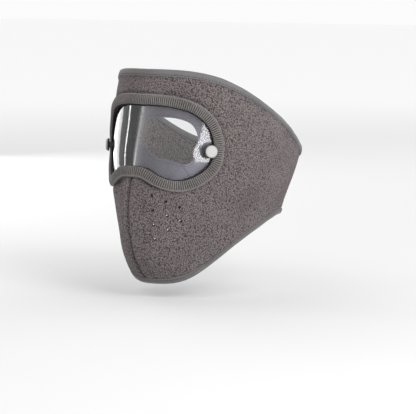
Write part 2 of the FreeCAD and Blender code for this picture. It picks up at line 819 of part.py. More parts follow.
def build_snaps():
    """Cap, socket, stud and post of each snap, one axis for all four."""
    sheet.set("C1", str(WASHER_FOOT - SOCKET_FOOT))
    sheet.setAlias("C1", "washer_height")
    doc.recompute()
    neck = "Sizes.lens_hole_radius - Sizes.lens_hole_gap"
    bore = neck + " - Sizes.socket_wall"
    grip = "Sizes.socket_flange + Sizes.lens_play + Sizes.lens_thickness + Sizes.lens_play"
    washer_top = "Sizes.washer_height + Sizes.washer_thickness"
    shank = "Sizes.shank_radius"
    socket = ((bore, "0"), (shank, "0"), (shank, "Sizes.socket_flange"),
              (neck, "Sizes.socket_flange"), (neck, grip), (shank, grip),
              (shank, "Sizes.washer_height"), ("Sizes.washer_radius", "Sizes.washer_height"),
              ("Sizes.washer_radius", washer_top), ("0", washer_top),
              ("0", "Sizes.socket_depth"), (bore, "Sizes.socket_depth"))
    head = bore + " - Sizes.stud_gap"
    hollow = "Sizes.post_radius + Sizes.post_gap"
    stud = ((hollow, "0"), ("Sizes.stud_radius", "0"), ("Sizes.stud_radius", "Sizes.stud_plate"),
            ("Sizes.stud_neck", "Sizes.stud_plate"), ("Sizes.stud_neck", "Sizes.stud_neck_top"),
            (head, "Sizes.stud_neck_top"), (head, "Sizes.stud_height"), ("0", "Sizes.stud_height"),
            ("0", "Sizes.stud_bore"), (hollow, "Sizes.stud_bore"))
    post = (("0", "0"), ("Sizes.post_flange_radius", "0"),
            ("Sizes.post_flange_radius", "Sizes.post_flange"),
            ("Sizes.post_radius", "Sizes.post_flange"), ("Sizes.post_radius", "Sizes.post_height"),
            ("0", "Sizes.post_height"))
    cap_top = "Sizes.cap_rim + Sizes.cap_crown"
    cap = (("0", "0"), ("Sizes.cap_radius", "0"), ("Sizes.cap_radius", cap_top), ("0", cap_top))
    seat = size("seat_gap")
    tab_back = size("tab_lift") - size("tab_thickness")
    for side, name in ((1, "left"), (-1, "right")):
        turned(name + "_snap_socket", socket, side, SOCKET_FOOT)
        turned(name + "_snap_stud", stud, side, size("tab_lift") + seat)
        turned(name + "_snap_post", post, side, tab_back - 1.5 * seat - size("post_flange"))
        lift = WASHER_FOOT + size("washer_thickness") + seat / 2
        round_over(turned(name + "_snap_cap", cap, side, lift))


def round_over(body):
    """Rounds the top edge of a cap into a dome."""
    doc.recompute()
    base = body.Tip
    edges = base.Shape.Edges
    round_edges = [number for number, edge in enumerate(edges, 1)
                   if edge.BoundBox.ZLength < 1e-6 and edge.BoundBox.XLength > size("cap_radius")]
    top = max(round_edges, key=lambda number: edges[number - 1].BoundBox.ZMax)
    dome = body.newObject("PartDesign::Fillet", body.Label + "_dome")
    dome.Base = (base, ["Edge%d" % top])
    dome.setExpression("Radius", "Sizes.cap_crown")


def build_closure():
    """Hooks on the inside of the wing, loops on the outside of the right side."""
    low, top = size("low_binding_width"), size("top_binding_width")
    margin = size("patch_margin")
    bounds = lambda turn: (low_height(turn) + low + margin, top_height(turn) - top - margin)
    shares = (0, 0.25, 0.5, 0.75, 1)
    hook_turns = spread(size("hook_start_turn"), size("hook_end_turn"), 6.0)
    hook_top = WRAP_LIFT - GAP
    keep(shaped("hooks", cloth(hook_turns, shares, bounds,
                               lambda turn: (hook_top - size("hook_thickness"), hook_top))),
         "hook_patch")
    loop_turns = spread(-size("loop_end_turn"), -size("loop_start_turn"), 6.0)
    foot = FLEECE + GAP
    keep(shaped("loops", cloth(loop_turns, shares, bounds,
                               lambda turn: (foot, foot + size("loop_thickness")))),
         "loop_patch")


def build_tape():
    """Tape behind the chin seam, from under the nose to the lower binding."""
    half = degrees(size("tape_width") / 2 / size("face_depth"))
    turns = [-half, -0.6 * half, -0.3 * half, 0, 0.3 * half, 0.6 * half, half]
    low = size("low_binding_width") + GAP
    tape = cloth(turns, SHARES, lambda turn: (low_height(turn) + low, size("tape_start")),
                 lambda turn: (-GAP - size("tape_thickness"), -GAP))
    keep(shaped("tape", tape), "front_seam_tape")


def check_objects():
    """Stops if an object failed or a sub-part isn't one good solid."""
    doc.recompute()
    for item in doc.Objects:
        if "Invalid" in item.State or "Error" in item.State:
            raise RuntimeError("failed object: " + item.Label)
    for item in NODES:
        shape = item.Shape
        if shape.isNull() or not shape.isValid() or len(shape.Solids) != 1:
            raise RuntimeError("bad shape: " + item.Label)


def write_parts():
    os.makedirs("parts", exist_ok=True)
    for item in NODES:
        item.Shape.exportStep(os.path.join("parts", item.Label + ".step"))
        box = item.Shape.BoundBox
        print("%-28s %9.1f mm3  x %6.1f %6.1f  y %6.1f %6.1f  z %6.1f %6.1f" % (
            item.Label, item.Shape.Volume, box.XMin, box.XMax, box.YMin, box.YMax,
            box.ZMin, box.ZMax))


def wing_hinge():
    """Top point and direction of the wing's axis, which stands clear of the bulging cloth."""
    turn = size("wing_turn")
    low, top = low_height(turn), top_height(turn)
    line = [skin(turn, low + (top - low) * step / 40, BINDING_OUT) for step in range(41)]
    axis = (line[0] - line[-1]).normalize()
    away = outward(turn, (low + top) / 2)
    away = (away - axis * away.dot(axis)).normalize()
    bulge = max((point - line[-1]).dot(away) for point in line)
    return line[-1] + away * (bulge + size("hinge_clearance")), axis


def print_joints():
    """Axes of the joints, for the record of the part."""
    print("left wing: point %s axis %s" % tuple(tuple(value) for value in wing_hinge()))
    for side, name in ((1, "left"), (-1, "right")):
        foot, axis = snap_axis(side)
        print("%s snap: point %s axis %s" % (name, tuple(foot), tuple(axis)))


build_fleece()
build_bindings()
build_rim()
build_lens()
build_liner()
build_tabs()
build_snaps()
build_closure()
build_tape()
check_objects()
write_parts()
print_joints()
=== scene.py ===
"""Looks of the fleece ski balaclava with its lens on press studs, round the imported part.

Every cloth piece follows the same closed form as the part: a place is a turn (degrees from the
front, positive to the wearer's left) or a reach (millimetres round the face), a height, and a
lift from the form. Lengths are millimetres here and become metres when a mesh is made.
"""

import math

import bmesh
import bpy
import numpy as np
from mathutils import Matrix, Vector


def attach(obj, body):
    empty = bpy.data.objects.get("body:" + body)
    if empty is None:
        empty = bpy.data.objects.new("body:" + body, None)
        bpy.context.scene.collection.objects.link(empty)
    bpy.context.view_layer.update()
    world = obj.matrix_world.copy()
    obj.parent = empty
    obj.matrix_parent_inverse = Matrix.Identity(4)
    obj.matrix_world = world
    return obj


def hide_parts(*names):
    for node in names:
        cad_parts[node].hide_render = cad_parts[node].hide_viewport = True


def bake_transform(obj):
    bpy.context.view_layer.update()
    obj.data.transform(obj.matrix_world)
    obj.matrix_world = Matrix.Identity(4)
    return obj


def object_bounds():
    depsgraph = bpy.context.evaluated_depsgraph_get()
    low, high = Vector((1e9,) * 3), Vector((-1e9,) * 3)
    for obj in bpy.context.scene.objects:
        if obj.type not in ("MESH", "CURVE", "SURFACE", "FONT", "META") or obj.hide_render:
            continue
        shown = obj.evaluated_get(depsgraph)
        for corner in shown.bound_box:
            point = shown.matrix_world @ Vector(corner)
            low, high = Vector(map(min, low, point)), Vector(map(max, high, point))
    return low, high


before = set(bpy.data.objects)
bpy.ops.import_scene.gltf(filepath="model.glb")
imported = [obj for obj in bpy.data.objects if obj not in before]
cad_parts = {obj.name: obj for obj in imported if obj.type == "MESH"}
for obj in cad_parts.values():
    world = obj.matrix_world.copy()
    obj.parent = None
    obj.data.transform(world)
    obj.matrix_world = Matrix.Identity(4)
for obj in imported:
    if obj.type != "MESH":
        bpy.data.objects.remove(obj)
CAD_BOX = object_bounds()

MM = 0.001

# ---------------------------------------------------------------- the form, as in the part

HALF_WIDTH, FACE_DEPTH, NAPE_DEPTH = 75.5, 98.0, 93.0
# height, then differences of half width, front and back depth from eye level, then roundness
STATIONS = np.array((
    (-130, -38.0, -38.0, -46.0, 1.92),
    (-113, -25.5, -14.6, -39.0, 1.85),
    (-104, -22.0, -6.0, -35.5, 1.78),
    (-92, -19.0, 1.5, -31.5, 1.70),
    (-76, -16.5, 6.0, -29.0, 1.66),
    (-56, -13.2, 9.0, -22.0, 1.66),
    (-37, -7.0, 7.5, -14.0, 1.75),
    (-17, -1.5, 3.5, -5.0, 1.85),
    (0, 0.0, 0.0, 0.0, 1.92),
    (20, -0.5, -5.0, 3.0, 1.97),
    (45, -3.5, -11.5, 5.0, 2.05),
    (60, -6.5, -15.0, 3.0, 2.10),
    (85, -13.0, -24.0, -4.0, 2.10),
))
# The upper and lower edges: turn, height.
TOP_EDGE = ((0, 71.0), (30, 69.5), (50, 63.0), (68, 52.0), (92, 34.0), (113, 17.5),
            (140, -2.0), (180, -10.0))
LOW_EDGE = ((0, -118.0), (14, -117.5), (31, -110.3), (46, -98.6), (62, -87.0), (82, -76.0),
            (104, -67.5), (140, -64.5), (180, -63.0))
# Left half of the eye opening and of the liner's hole: reach, height. Both have 13 points, from
# the middle of the brow to the middle of the nose, which is number NOSE_AT.
EYE_EDGE = ((0, 40.4), (20, 40.3), (43, 36.9), (58, 30.4), (67, 21.0), (71.3, 8.5),
            (70.7, -5.0), (64.5, -15.0), (51, -22.9), (38, -25.0), (25, -21.3), (13, -14.8),
            (0, -13.4))
LINER_EDGE = ((0, 29.5), (14, 30.3), (30, 30.5), (44, 28.0), (54, 22.5), (58.5, 12.0),
              (57, 1.0), (51, -9.6), (42, -10.0), (28, -5.8), (14, -1.5), (7.5, 6.5), (0, 9.8))
NOSE_AT = 12
WHOLE_LOOP = 2 * NOSE_AT

FLEECE, GAP, BINDING = 2.2, 0.25, 0.8
# The left wing stands off by WRAP_LIFT at the nape, and gets there between two turns.
WRAP_LIFT = 5.45
RAMP = (118.0, 152.0)
RIGHT_END, WING_END = 200.0, 205.0
TOP_WIDTH, LOW_WIDTH, END_WIDTH, RIB_WIDTH = 6.5, 5.0, 6.0, 9.0
LENS_LIFT, LENS_THICK = -0.6, 0.8
LENS_MARGIN = 2.4
LINER_LIFT, LINER_THICK = -4.8, 1.0
SNAP_REACH, SNAP_HEIGHT = 68.2, 0.5


class Spline:
    """Cubic spline through points; its ends are free, or level if level is set."""

    def __init__(self, x, y, level=False):
        self.x, self.y = np.asarray(x, float), np.asarray(y, float)
        n, h = len(self.x), np.diff(self.x)
        a, b = np.zeros((n, n)), np.zeros((n,) + self.y.shape[1:])
        slope = (np.diff(self.y, axis=0).T / h).T
        for i in range(1, n - 1):
            a[i, i - 1:i + 2] = h[i - 1], 2 * (h[i - 1] + h[i]), h[i]
            b[i] = 6 * (slope[i] - slope[i - 1])
        a[0, 0] = a[-1, -1] = 1
        if level:
            a[0, :2] = 2 * h[0], h[0]
            a[-1, -2:] = h[-1], 2 * h[-1]
            b[0], b[-1] = 6 * slope[0], -6 * slope[-1]
        self.m = np.linalg.solve(a, b)

    def __call__(self, at):
        at = np.clip(np.asarray(at, float), self.x[0], self.x[-1])
        i = np.clip(np.searchsorted(self.x, at) - 1, 0, len(self.x) - 2)
        h = self.x[i + 1] - self.x[i]
        p, q = (self.x[i + 1] - at) / h, (at - self.x[i]) / h
        if self.y.ndim > 1:
            h, p, q = h[..., None], p[..., None], q[..., None]
        bend = (p ** 3 - p) * self.m[i] + (q ** 3 - q) * self.m[i + 1]
        return p * self.y[i] + q * self.y[i + 1] + bend * h * h / 6


class Loop:
    """Closed outline through a left half and its mirror image; a whole parameter is a point."""

    def __init__(self, half):
        half = np.array(half, float)
        self.y = np.vstack([half, half[-2:0:-1] * (-1, 1)])
        n = len(self.y)
        a = 4 * np.eye(n) + np.roll(np.eye(n), 1, 0) + np.roll(np.eye(n), -1, 0)
        second = np.roll(self.y, 1, 0) - 2 * self.y + np.roll(self.y, -1, 0)
        self.m = np.linalg.solve(a, 6 * second)

    def value(self, at):
        n = len(self.y)
        i = np.floor(at).astype(int)
        q = (at - i)[..., None]
        p = 1 - q
        i, j = i % n, (i + 1) % n
        return p * self.y[i] + q * self.y[j] + ((p ** 3 - p) * self.m[i]
                                                + (q ** 3 - q) * self.m[j]) / 6

    def place(self, at, margin):
        """Reach and height, moved outward by a margin."""
        at = np.asarray(at, float)
        along = self.value(at + 0.01) - self.value(at - 0.01)
        along /= np.linalg.norm(along, axis=-1, keepdims=True)
        out = np.stack([-along[..., 1], along[..., 0]], -1)
        return self.value(at) + out * np.asarray(margin, float)[..., None]


FORM = Spline(STATIONS[:, 0], STATIONS[:, 1:])
TOP = Spline(*zip(*TOP_EDGE), level=True)
LOW = Spline(*zip(*LOW_EDGE), level=True)
EYE, LINER = Loop(EYE_EDGE), Loop(LINER_EDGE)


def folded(turn):
    """The turn of the same place counted the short way round, from 0 to 180."""
    turn = np.abs(turn)
    return np.where(turn <= 180, turn, 360 - turn)


def top_height(turn):
    return TOP(folded(turn))


def low_height(turn):
    return LOW(folded(turn))


def on_form(turn, height):
    """A point on the form, which is the inner face of the fleece."""
    turn, height = np.broadcast_arrays(np.asarray(turn, float), np.asarray(height, float))
    angle, row = np.radians(turn), FORM(height)
    front = np.cos(angle) >= 0
    power = np.where(front, row[..., 3], 2.0)
    depth = np.where(front, FACE_DEPTH + row[..., 1], NAPE_DEPTH + row[..., 2])
    total = (np.abs(np.sin(angle)) / (HALF_WIDTH + row[..., 0])) ** power
    total = total + (np.abs(np.cos(angle)) / depth) ** power
    radius = total ** (-1 / power)
    return np.stack([radius * np.sin(angle), -radius * np.cos(angle), height], -1)


def outward(turn, height):
    """The form's normal."""
    turn, height = np.asarray(turn, float), np.asarray(height, float)
    along = on_form(turn + 0.05, height) - on_form(turn - 0.05, height)
    up = on_form(turn, height + 0.05) - on_form(turn, height - 0.05)
    normal = np.cross(along, up)
    return normal / np.linalg.norm(normal, axis=-1, keepdims=True)


def skin(turn, height, lift):
    """A point that stands off the form by a lift."""
    return on_form(turn, height) + outward(turn, height) * np.asarray(lift, float)[..., None]


DEGREES = np.arange(0, 121.0)
REACHES = np.concatenate([[0], np.cumsum(np.linalg.norm(np.diff(on_form(DEGREES, 0.0), axis=0),
                                                         axis=1))])


def turn_at(reach):
    """The turn that lies a reach round the face at eye level."""
    return np.sign(reach) * np.interp(np.abs(reach), REACHES, DEGREES)


def reach_skin(place, lift):
    return skin(turn_at(place[..., 0]), place[..., 1], lift)


def smooth(low, high, value):
    """0 before low, 1 past high, with a soft step between; low may be the larger."""
    share = np.clip((np.asarray(value, float) - low) / (high - low), 0, 1)
    return share * share * (3 - 2 * share)


def hump(value, middle, half_width):
    """1 at the middle, falling to 0 on both sides."""
    return np.exp(-((value - middle) / half_width) ** 2)


def wrap_lift(turn):
    """How far the left wing stands off the form, where it runs over the right side."""
    return WRAP_LIFT * smooth(*RAMP, turn)


def ripple(points, size, seed):
    """Smooth small waves for cloth, about -1 to 1; size is their length."""
    rng = np.random.default_rng(seed)
    total = np.zeros(points.shape[:-1])
    for _ in range(7):
        way = rng.normal(size=3)
        way *= 2 * np.pi / (size * rng.uniform(0.7, 1.6) * np.linalg.norm(way))
        total = total + np.sin(points @ way + rng.uniform(0, 6.28))
    return total / 4


# ---------------------------------------------------------------- meshes


def mesh_object(name, points, faces, material, smooth_faces=True):
    mesh = bpy.data.meshes.new(name)
    mesh.from_pydata((np.asarray(points).reshape(-1, 3) * MM).tolist(), [], faces)
    mesh.update()
    item = bpy.data.objects.new(name, mesh)
    bpy.context.scene.collection.objects.link(item)
    mesh.materials.append(material)
    if smooth_faces:
        mesh.shade_smooth()
    return item


def grid_faces(rows, columns, start=0, wrap_rows=False, wrap_columns=False, flip=False):
    faces = []
    for i in range(rows if wrap_rows else rows - 1):
        for j in range(columns if wrap_columns else columns - 1):
            a, b = i * columns + j, i * columns + (j + 1) % columns
            k = (i + 1) % rows
            c, d = k * columns + (j + 1) % columns, k * columns + j
            face = (a + start, b + start, c + start, d + start)
            faces.append(face[::-1] if flip else face)
    return faces


def tidy_mesh(item, drop_middle=False):
    """Joins double points, makes normals agree, and opens the mesh on the middle plane."""
    work = bmesh.new()
    work.from_mesh(item.data)
    bmesh.ops.remove_doubles(work, verts=work.verts, dist=1e-6)
    bmesh.ops.recalc_face_normals(work, faces=work.faces)
    if drop_middle:
        flat = [face for face in work.faces if all(abs(v.co.x) < 2e-6 for v in face.verts)]
        bmesh.ops.delete(work, geom=flat, context="FACES")
    work.to_mesh(item.data)
    work.free()
    item.data.shade_smooth()
    return item


def slab(name, inner, outer, material, drop_middle=False):
    """Closed cloth between two grids of points of the same size."""
    rows, columns = inner.shape[:2]
    count = rows * columns
    points = np.concatenate([inner.reshape(-1, 3), outer.reshape(-1, 3)])
    faces = grid_faces(rows, columns, flip=True) + grid_faces(rows, columns, start=count)
    border = [(i, 0) for i in range(rows)] + [(rows - 1, j) for j in range(1, columns)]
    border += [(i, columns - 1) for i in range(rows - 2, -1, -1)]
    border += [(0, j) for j in range(columns - 2, 0, -1)]
    ids = [i * columns + j for i, j in border]
    for a, b in zip(ids, ids[1:] + ids[:1]):
        faces.append((a, b, b + count, a + count))
    return tidy_mesh(mesh_object(name, points, faces, material), drop_middle)


def swept(name, sections, material, closed=False):
    """Closed sections, one after another along a track; points are [track, corner, xyz]."""
    rows, columns = sections.shape[:2]
    faces = grid_faces(rows, columns, wrap_rows=closed, wrap_columns=True)
    if not closed:
        faces += [tuple(range(columns)), tuple(range((rows - 1) * columns, rows * columns))]
    return tidy_mesh(mesh_object(name, sections, faces, material))


STITCH_CORNERS = 6


def stitches(name, path, ups, material, length, pause, radius):
    """A row of thread stitches that lie along a path of points, lifted in their middle."""
    steps = np.linalg.norm(np.diff(path, axis=0), axis=1)
    run = np.concatenate([[0], np.cumsum(steps)])
    count = int(run[-1] // (length + pause))
    points, faces = [], []
    share = np.array([0, 0.12, 0.5, 0.88, 1])
    thick = np.array([0.35, 0.8, 1.0, 0.8, 0.35]) * radius
    sink = np.array([-0.9, -0.1, 0.35, -0.1, -0.9]) * radius
    ring = np.radians(np.arange(0, 360, 360 / STITCH_CORNERS))
    sections, last = len(share), (len(share) - 1) * STITCH_CORNERS
    for number in range(count):
        at = number * (length + pause) + pause / 2 + share * length
        mid = np.stack([np.interp(at, run, path[:, k]) for k in range(3)], -1)
        up = np.stack([np.interp(at, run, ups[:, k]) for k in range(3)], -1)
        along = mid[-1] - mid[0]
        along /= np.linalg.norm(along)
        side = np.cross(along, up)
        side /= np.linalg.norm(side, axis=-1, keepdims=True)
        start = len(points)
        for k in range(sections):
            for angle in ring:
                points.append(mid[k] + up[k] * (sink[k] + math.sin(angle) * thick[k] * 0.8)
                              + side[k] * math.cos(angle) * thick[k])
        faces += grid_faces(sections, STITCH_CORNERS, start=start, wrap_columns=True)
        faces += [tuple(start + k for k in range(STITCH_CORNERS)),
                  tuple(start + last + k for k in range(STITCH_CORNERS))]
    return tidy_mesh(mesh_object(name, points, faces, material))


# ---------------------------------------------------------------- materials


def new_material(name):
    material = bpy.data.materials.new(name)
    material.use_nodes = True
    nodes, links = material.node_tree.nodes, material.node_tree.links
    shader = nodes["Principled BSDF"]
    return material, nodes, links, shader


def node(nodes, kind, **values):
    """A new node; each value goes to the input of that name, or else to the setting."""
    item = nodes.new(kind)
    for name, value in values.items():
        if name in item.inputs:
            item.inputs[name].default_value = value
        else:
            setattr(item, name, value)
    return item


def ramp(nodes, stops):
    """A colour ramp through (position, colour) stops."""
    item = nodes.new("ShaderNodeValToRGB")
    elements = item.color_ramp.elements
    while len(elements) < len(stops):
        elements.new(0.5)
    for element, (position, colour) in zip(elements, stops):
        element.position = position
        element.color = (*colour, 1)
    return item


# The finer grain's share of the coarse one's pitch is 1 / FINER. The slow unevenness has a pitch
# of about 36 mm.
FINER, SLOW_SCALE = 2.6, 28.0
# How far from a tuft's middle, in cells, the pile starts to fall and lies lowest; the colour
# darkens with it, so the tuft feet carry painted shade.
TUFT_TOP, TUFT_FOOT = 0.10, 0.80


def cloth_material(name, dark, light, grain, bump=0.5, depth=0.0006, sheen=0.3, warp=1.2,
                   contrast=(0.36, 0.64), rough=0.95, fine=0.35, pile=False):
    """Woven or brushed cloth: a grain of a size in millimetres, a finer one, slow unevenness.

    The grain is wavy, or, with pile, made of small tufts that crowd each other. contrast gives
    the places of the dark and the light colour along the grain's height, fine is the share of
    the finer grain, and depth is the relief in metres. The colour darkens where the grain is
    low; with pile these dark tuft feet are partly the cloth's own grain and partly painted
    shade in the gaps between tufts.
    """
    material, nodes, links, shader = new_material(name)
    shader.inputs["Roughness"].default_value = rough
    shader.inputs["Specular IOR Level"].default_value = 0.2
    shader.inputs["Sheen Weight"].default_value = sheen
    shader.inputs["Sheen Roughness"].default_value = 0.5
    shader.inputs["Sheen Tint"].default_value = (0.95, 0.93, 0.97, 1)
    scale = 1 / (grain * MM)
    where = nodes.new("ShaderNodeTexCoord").outputs["Object"]
    small = node(nodes, "ShaderNodeTexNoise", Scale=FINER * scale, Detail=3.0, Roughness=0.7)
    slow = node(nodes, "ShaderNodeTexNoise", Scale=SLOW_SCALE, Detail=3.0, Roughness=0.6)
    for texture in (small, slow):
        links.new(where, texture.inputs["Vector"])
    if pile:
        shifted = node(nodes, "ShaderNodeVectorMath", operation="MULTIPLY_ADD")
        shifted.inputs[1].default_value = (warp * MM,) * 3
        links.new(small.outputs["Color"], shifted.inputs[0])
        links.new(where, shifted.inputs[2])
        tufts = node(nodes, "ShaderNodeTexVoronoi", Scale=scale, Randomness=0.85)
        links.new(shifted.outputs["Vector"], tufts.inputs["Vector"])
        height = node(nodes, "ShaderNodeMapRange")
        for number, value in enumerate((TUFT_TOP, TUFT_FOOT, 1.0, 0.0), 1):
            height.inputs[number].default_value = value
        links.new(tufts.outputs["Distance"], height.inputs["Value"])
        grains = height.outputs["Result"]
    else:
        coarse = node(nodes, "ShaderNodeTexNoise", Scale=scale, Detail=2.0, Roughness=0.6,
                      Distortion=warp)
        links.new(where, coarse.inputs["Vector"])
        grains = coarse.outputs["Fac"]
    mixed = node(nodes, "ShaderNodeMix", data_type="FLOAT")
    mixed.inputs[0].default_value = fine
    links.new(grains, mixed.inputs[2])
    links.new(small.outputs["Fac"], mixed.inputs[3])
    # Colour by grain height: low places get the dark colour; for the fleece's pile this is painted
    # shade between the tufts, over the cloth's own grain.
    colours = ramp(nodes, ((contrast[0], dark), (contrast[1], light)))
    links.new(mixed.outputs[0], colours.inputs["Fac"])
    shade = ramp(nodes, ((0.3, (0.82, 0.81, 0.82)), (0.7, (1.12, 1.12, 1.12))))
    links.new(slow.outputs["Fac"], shade.inputs["Fac"])
    tinted = node(nodes, "ShaderNodeMix", data_type="RGBA", blend_type="MULTIPLY")
    tinted.inputs[0].default_value = 1.0
    links.new(colours.outputs["Color"], tinted.inputs[6])
    links.new(shade.outputs["Color"], tinted.inputs[7])
    links.new(tinted.outputs[2], shader.inputs["Base Color"])
    relief = node(nodes, "ShaderNodeBump", Strength=bump, Distance=depth)
    links.new(mixed.outputs[0], relief.inputs["Height"])
    links.new(relief.outputs["Normal"], shader.inputs["Normal"])
    return material


def metal_material(name, colour, metallic, rough, grain, bump):
    """Metal or hard plastic, its colour and gloss a little uneven at a grain in millimetres."""
    material, nodes, links, shader = new_material(name)
    shader.inputs["Metallic"].default_value = metallic
    where = nodes.new("ShaderNodeTexCoord")
    noise = node(nodes, "ShaderNodeTexNoise", Scale=1 / (grain * MM), Detail=3.0)
    links.new(where.outputs["Object"], noise.inputs["Vector"])
    low, high = [tuple(c * k for c in colour) for k in (0.88, 1.06)]
    colours = ramp(nodes, ((0.4, low), (0.6, high)))
    links.new(noise.outputs["Fac"], colours.inputs["Fac"])
    links.new(colours.outputs["Color"], shader.inputs["Base Color"])
    gloss = ramp(nodes, ((0.3, (rough * 0.8,) * 3), (0.7, (rough * 1.2,) * 3)))
    links.new(noise.outputs["Fac"], gloss.inputs["Fac"])
    links.new(gloss.outputs["Color"], shader.inputs["Roughness"])
    relief = node(nodes, "ShaderNodeBump", Strength=bump, Distance=0.0002)
    links.new(noise.outputs["Fac"], relief.inputs["Height"])
    links.new(relief.outputs["Normal"], shader.inputs["Normal"])
    return material


def lens_material():
    """Clear flexible sheet: it lets light through straight and mirrors by its angle."""
    material = bpy.data.materials.new("clear_sheet")
    material.use_nodes = True
    nodes, links = material.node_tree.nodes, material.node_tree.links
    nodes.remove(nodes["Principled BSDF"])
    clear = node(nodes, "ShaderNodeBsdfTransparent", Color=(0.965, 0.97, 0.975, 1))
    gloss = node(nodes, "ShaderNodeBsdfGlossy", Color=(1, 1, 1, 1), Roughness=0.07)
    angle = node(nodes, "ShaderNodeFresnel", IOR=1.5)
    both = nodes.new("ShaderNodeMixShader")
    links.new(angle.outputs["Fac"], both.inputs["Fac"])
    links.new(clear.outputs[0], both.inputs[1])
    links.new(gloss.outputs[0], both.inputs[2])
    links.new(both.outputs[0], nodes["Material Output"].inputs["Surface"])
    return material


# Fleece: its near-black tuft feet are painted shade between the tufts, over the fleece's own grey
# grain.
FLEECE_CLOTH = cloth_material("fleece", (0.016, 0.011, 0.011), (0.312, 0.262, 0.259), 1.35,
                              bump=1.0, depth=0.0022, sheen=0.12, warp=0.7,
                              contrast=(0.05, 0.95), fine=0.25, pile=True)
# Painted shade: a near-black cloth for the walls of the breathing holes, where only shade falls.
HOLE_WALL_SHADE = cloth_material("hole_wall_painted_shade", (0.006, 0.005, 0.005), (0.018, 0.016, 0.016), 0.8,
                           bump=0.3, depth=0.0002, sheen=0.0)
# Painted shade: near-black cloth laid in the valleys between the ribs of the knit.
RIB_VALLEY_SHADE = cloth_material("rib_valley_painted_shade", (0.020, 0.018, 0.017), (0.045, 0.042, 0.040), 0.9,
                            bump=0.4, depth=0.0003, sheen=0.0)
RIB_CLOTH = cloth_material("rib_knit", (0.078, 0.071, 0.068), (0.215, 0.198, 0.190), 0.9,
                           bump=0.5, depth=0.0004, sheen=0.12)
EDGE_CLOTH = cloth_material("edge_tape", (0.085, 0.082, 0.082), (0.165, 0.160, 0.160), 0.8,
                            bump=0.4, depth=0.0003, sheen=0.12, contrast=(0.3, 0.7))
PIPING_CLOTH = cloth_material("black_piping", (0.004, 0.004, 0.004), (0.010, 0.010, 0.011), 0.8,
                              bump=0.3, depth=0.0003, sheen=0.05)
LINER_CLOTH = cloth_material("liner_jersey", (0.130, 0.120, 0.150), (0.220, 0.205, 0.245), 0.8,
                             bump=0.35, depth=0.0003, sheen=0.2, contrast=(0.3, 0.7))
TAB_CLOTH = cloth_material("tab_cloth", (0.16, 0.16, 0.17), (0.24, 0.24, 0.25), 0.8,
                           bump=0.3, depth=0.0003, contrast=(0.3, 0.7))
TAPE_CLOTH = cloth_material("seam_tape", (0.04, 0.038, 0.04), (0.09, 0.085, 0.09), 0.8,
                            bump=0.4, depth=0.0003)
HOOK_CLOTH = cloth_material("nylon_hooks", (0.004, 0.004, 0.005), (0.05, 0.05, 0.054), 0.9,
                            bump=1.0, depth=0.0010, sheen=0.0, rough=0.55, warp=0.0)
LOOP_CLOTH = cloth_material("nylon_loops", (0.015, 0.014, 0.016), (0.07, 0.066, 0.07), 1.2,
                            bump=1.0, depth=0.0012, sheen=0.6, warp=3.0)
THREAD = cloth_material("thread", (0.12, 0.12, 0.125), (0.24, 0.24, 0.25), 0.5, bump=0.4,
                        depth=0.0001, sheen=0.2)
DARK_THREAD = cloth_material("dark_thread", (0.02, 0.019, 0.02), (0.06, 0.056, 0.06), 0.5,
                             bump=0.4, depth=0.0001, sheen=0.2)
CLEAR = lens_material()
SILVER = metal_material("silver_cap", (0.375, 0.372, 0.362), 0.2, 0.48, 0.4, 0.9)
BLACK = metal_material("black_socket", (0.006, 0.006, 0.007), 0.0, 0.35, 0.8, 0.2)
NICKEL = metal_material("nickel", (0.62, 0.61, 0.59), 1.0, 0.3, 0.6, 0.2)

# ---------------------------------------------------------------- fleece


BATCH = 4000


def eye_distance(points):
    """How far points lie from the rim of the eye opening, roughly, in millimetres."""
    rim = reach_skin(EYE.place(np.arange(0, WHOLE_LOOP, 0.1), 0), FLEECE)
    flat = points.reshape(-1, 3)
    found = np.empty(len(flat))
    for start in range(0, len(flat), BATCH):
        part = flat[start:start + BATCH, None] - rim[None]
        found[start:start + BATCH] = np.linalg.norm(part, axis=-1).min(1)
    return found.reshape(points.shape[:-1])


# Seam valley: its depth and half width, and the crest on each side: height, place, half width.
VALLEY, CREST = (1.7, 1.2), (0.9, 3.6, 1.6)
# Hollow beside the nose: depth, then place and half width across, then the same in height.
HOLLOW, HOLLOW_ACROSS, HOLLOW_HEIGHT = 2.6, (17, 8), (-28.5, 6)
# Groove round the rib knit: depth, distance from the rim of the opening, half width.
GROOVE = (1.3, 10.0, 1.5)
WAVE, WAVE_LENGTH, WAVE_SEEDS = 0.32, 34, {1: 3, -1: 4}
# Puckers along the edges: depth, distance from the edge, half width.
PUCKER = (0.22, 8, 4)


def cloth_relief(turn, height, side):
    """Lift added to the fleece: seam valley, hollows by the nose, pull of the rims, waves.

    The valley and the hollows belong to the face, so they fade out before the nape.
    """
    base = on_form(turn, height)
    across = np.abs(base[..., 0])
    face = smooth(10, -10, base[..., 1])
    gather = 0.75 + 0.35 * np.sin(height * 1.15 + side)
    valley = -VALLEY[0] * hump(across, 0, VALLEY[1]) + CREST[0] * gather * hump(across, *CREST[1:])
    lift = smooth(-14, -22, height) * face * valley
    nose = hump(across, *HOLLOW_ACROSS) * hump(height, *HOLLOW_HEIGHT)
    lift = lift - HOLLOW * nose * face
    rim = eye_distance(base)
    lift = lift - GROOVE[0] * hump(rim, *GROOVE[1:])
    waves = ripple(base * (side, 1, 1), WAVE_LENGTH, WAVE_SEEDS[side])
    lift = lift + WAVE * waves * smooth(10, 22, rim)
    edge = np.minimum(top_height(turn) - height, height - low_height(turn))
    pucker = PUCKER[0] * np.sin(turn * 1.9) * hump(edge, *PUCKER[1:])
    return lift + pucker * smooth(8, 16, rim)


# Between these two places on the eye outline the grid runs out to the side line, a turn of
# SIDE_TURN. Before them it runs to the upper edge, and after them to the lower one.
CORNER_TOP, CORNER_LOW, SIDE_TURN = 3.6, 7.6, 100.0
EDGE_INSET = BINDING + GAP
EYE_INSET, END_INSET = 1.2, 0.8


